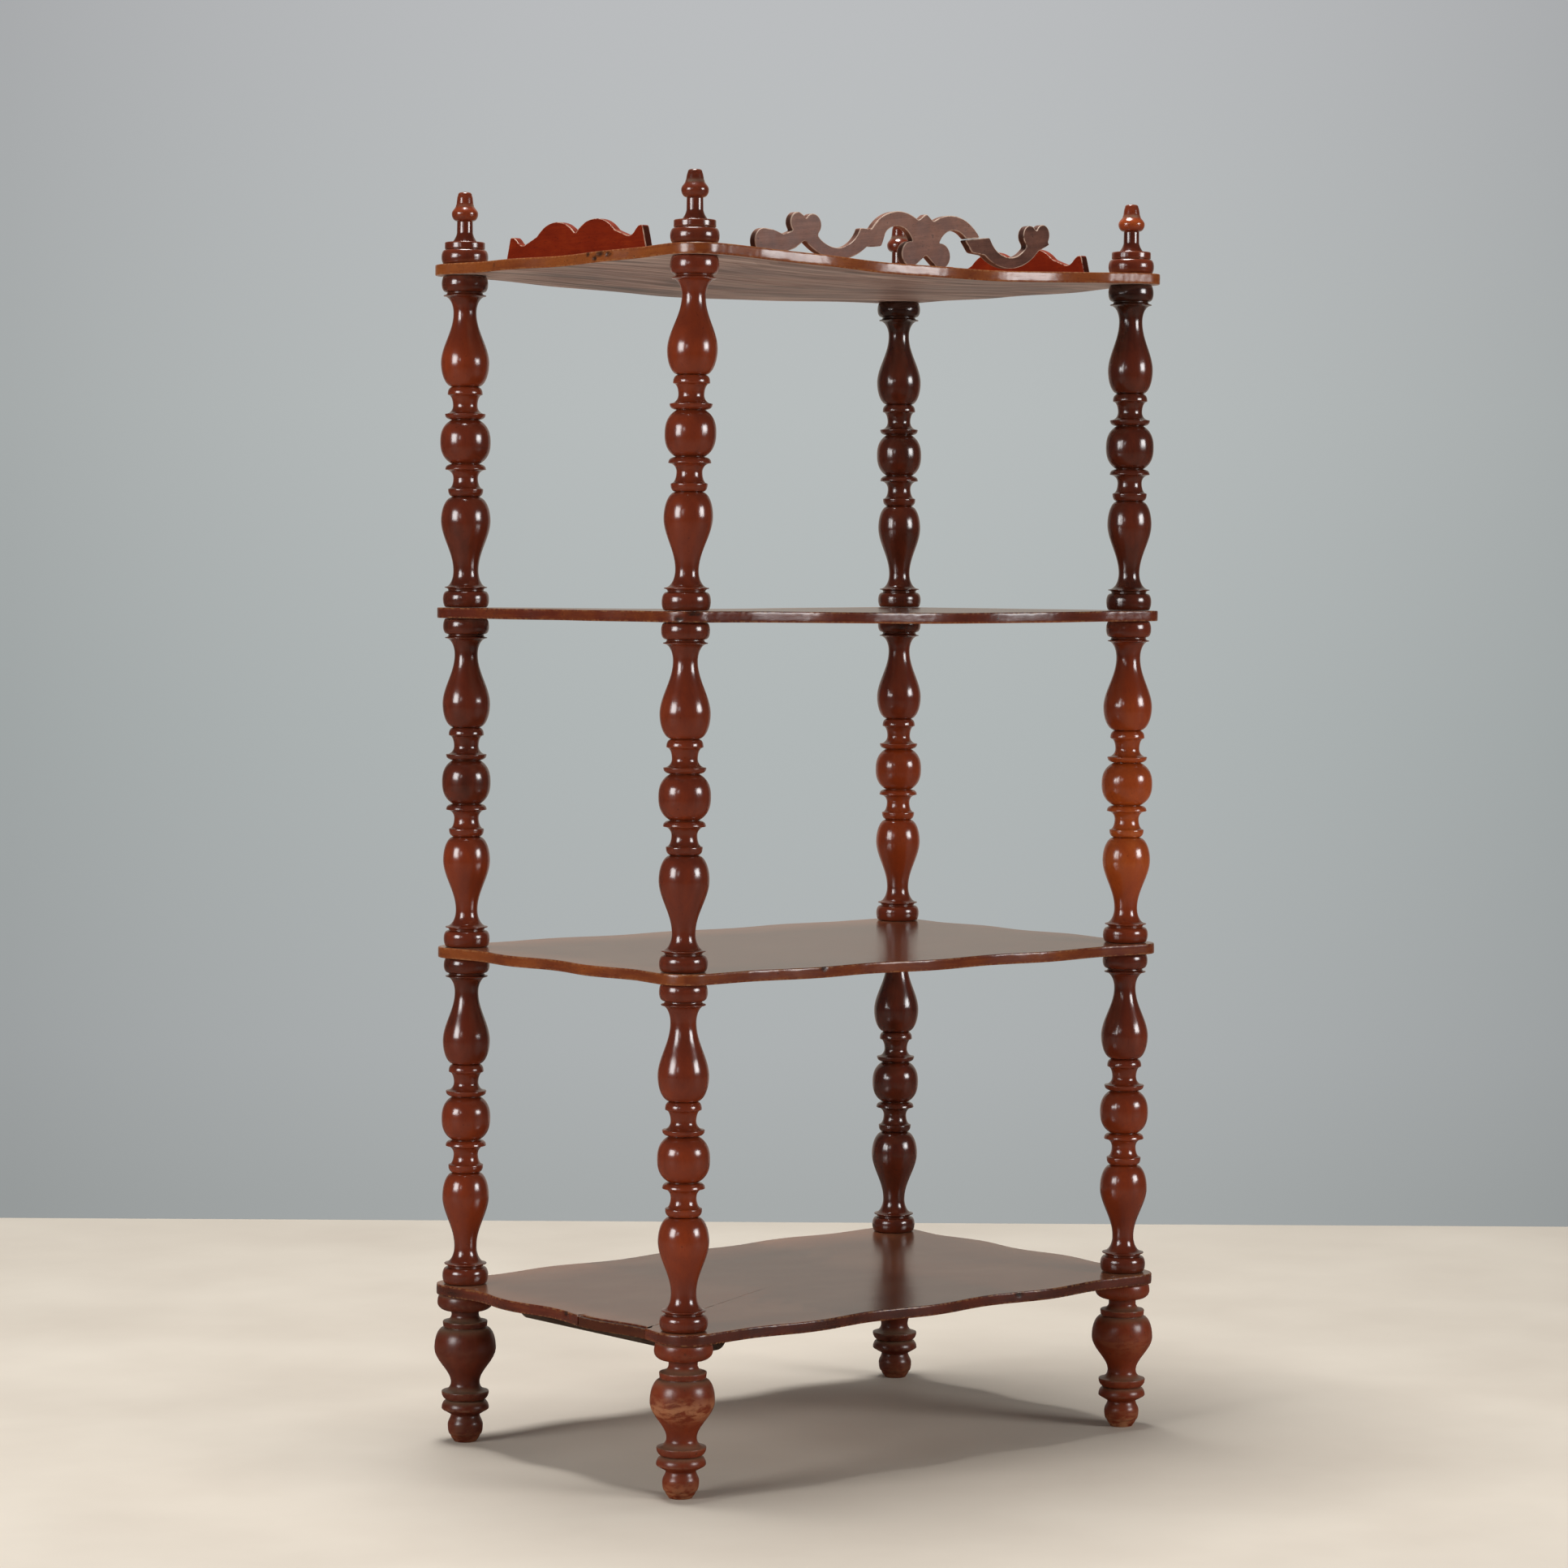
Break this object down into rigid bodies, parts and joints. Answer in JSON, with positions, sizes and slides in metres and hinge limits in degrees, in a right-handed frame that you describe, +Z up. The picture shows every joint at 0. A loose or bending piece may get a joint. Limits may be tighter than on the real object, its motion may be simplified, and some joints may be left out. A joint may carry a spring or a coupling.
{
  "type": "turned whatnot shelf",
  "caption": "Tall open whatnot in red-brown wood: thin wavy-edged shelves on turned posts with finials, and a low pierced gallery round the top shelf.",
  "frame": {"origin": "on the floor, midway between the four posts", "axes": "+Z up; X along the long sides; -Y towards the open front, +Y towards the rear fret"},
  "size_m": [0.6644, 0.4414, 1.3],
  "materials": {
    "shelf_board": "stained and polished, worn dull on top",
    "turning": "dark red-brown polish, glossy",
    "gallery_board": "red-brown stain, half dull, worn at the edges",
    "raw_wood": "unpolished, darkened with age",
    "screw_steel": "dull, darkened"
  },
  "bodies": {
    "root": {"foot_rear_right": "turning", "foot_rear_left": "turning", "foot_front_right": "turning", "foot_front_left": "turning", "spindle_lower_rear_right": "turning", "spindle_lower_rear_left": "turning", "spindle_lower_front_right": "turning", "spindle_lower_front_left": "turning", "spindle_middle_rear_right": "turning", "spindle_middle_rear_left": "turning", "spindle_middle_front_right": "turning", "spindle_middle_front_left": "turning", "spindle_upper_rear_right": "turning", "spindle_upper_rear_left": "turning", "spindle_upper_front_right": "turning", "spindle_upper_front_left": "turning", "finial_rear_right": "turning", "finial_rear_left": "turning", "finial_front_right": "turning", "finial_front_left": "turning", "shelf_bottom": "shelf_board", "shelf_lower_middle": "shelf_board", "shelf_upper_middle": "shelf_board", "shelf_top": "shelf_board", "edge_repair_strip": "shelf_board", "fret_gallery": "gallery_board", "fret_broken_scroll": "gallery_board", "gallery_end_left": "gallery_board", "gallery_end_right": "gallery_board", "batten_left": "raw_wood", "batten_right": "raw_wood", "peg_fret_left": "raw_wood", "peg_fret_middle": "raw_wood", "peg_fret_right": "raw_wood", "peg_left_front": "raw_wood", "peg_left_rear": "raw_wood", "peg_right_front": "raw_wood", "peg_right_rear": "raw_wood", "screw_left_front": "screw_steel", "screw_left_rear": "screw_steel", "screw_right_front": "screw_steel", "screw_right_rear": "screw_steel"}
  },
  "joints": []
}
